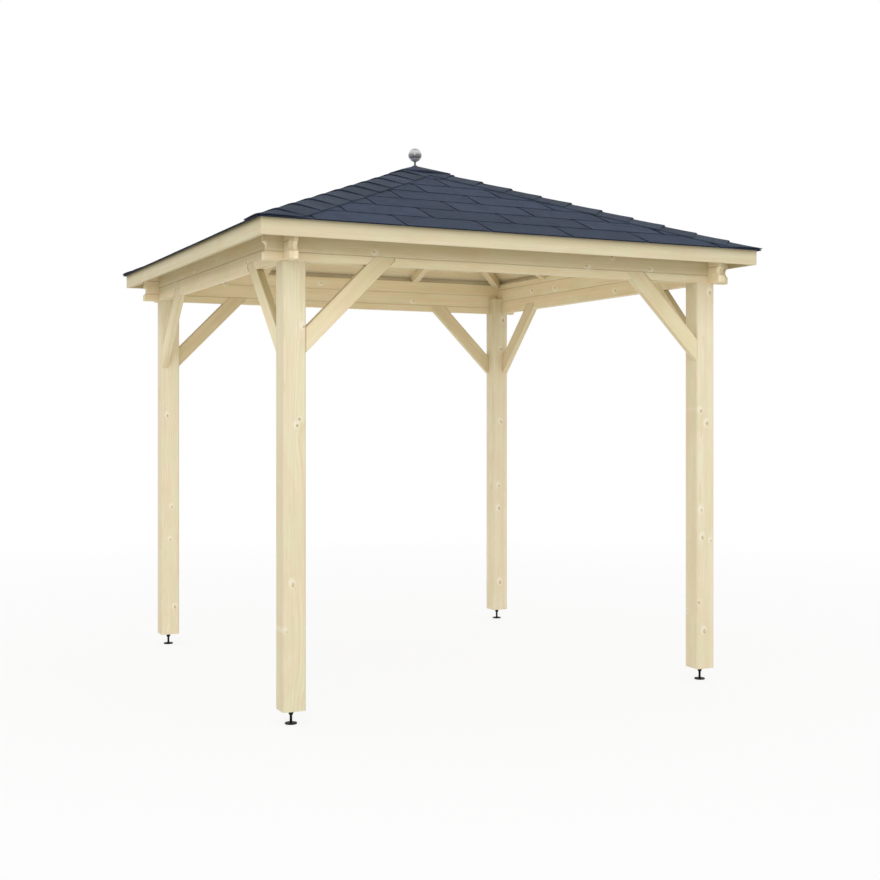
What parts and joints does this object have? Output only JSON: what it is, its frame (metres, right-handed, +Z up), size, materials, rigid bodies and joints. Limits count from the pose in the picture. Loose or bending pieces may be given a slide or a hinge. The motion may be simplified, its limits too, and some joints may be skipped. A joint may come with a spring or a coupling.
{
  "type": "open garden gazebo with a hipped shingle roof",
  "caption": "Square open timber shelter with corner posts on screw feet, knee braces, stacked plank beams and a hipped shingle roof with a steel ball",
  "frame": {"origin": "on the ground under the middle of the roof", "axes": "+Z up, the front side faces -Y, X and Y along the sides"},
  "size_m": [2.98, 2.98, 3.1796],
  "materials": {
    "post_timber": "planed glued spruce, satin",
    "beam_timber": "planed spruce planks, satin",
    "brace_timber": "planed spruce, satin",
    "roof_timber": "planed spruce, satin",
    "fascia_timber": "planed spruce, satin",
    "roof_boards": "planed tongue and groove spruce, satin",
    "shingle": "slate blue mineral granules, matte",
    "shingle_cap": "slate blue mineral granules, matte",
    "black_steel": "black, satin",
    "polished_steel": "polished"
  },
  "bodies": {
    "root": {"back_right_post": "post_timber", "back_right_foot": "black_steel", "back_right_hip_rafter": "roof_timber", "back_left_post": "post_timber", "back_left_foot": "black_steel", "back_left_hip_rafter": "roof_timber", "front_left_post": "post_timber", "front_left_foot": "black_steel", "front_left_hip_rafter": "roof_timber", "front_right_post": "post_timber", "front_right_foot": "black_steel", "front_right_hip_rafter": "roof_timber", "front_beam": "beam_timber", "front_right_brace": "brace_timber", "front_left_brace": "brace_timber", "front_jack_rafters": "roof_timber", "front_fascia": "fascia_timber", "front_roof_boards": "roof_boards", "front_shingles": "shingle", "right_beam": "beam_timber", "right_right_brace": "brace_timber", "right_left_brace": "brace_timber", "right_jack_rafters": "roof_timber", "right_fascia": "fascia_timber", "right_roof_boards": "roof_boards", "right_shingles": "shingle", "back_beam": "beam_timber", "back_right_brace": "brace_timber", "back_left_brace": "brace_timber", "back_jack_rafters": "roof_timber", "back_fascia": "fascia_timber", "back_roof_boards": "roof_boards", "back_shingles": "shingle", "left_beam": "beam_timber", "left_right_brace": "brace_timber", "left_left_brace": "brace_timber", "left_jack_rafters": "roof_timber", "left_fascia": "fascia_timber", "left_roof_boards": "roof_boards", "left_shingles": "shingle", "hip_caps": "shingle_cap", "apex_cap": "shingle_cap", "roof_ball": "polished_steel"}
  },
  "joints": []
}
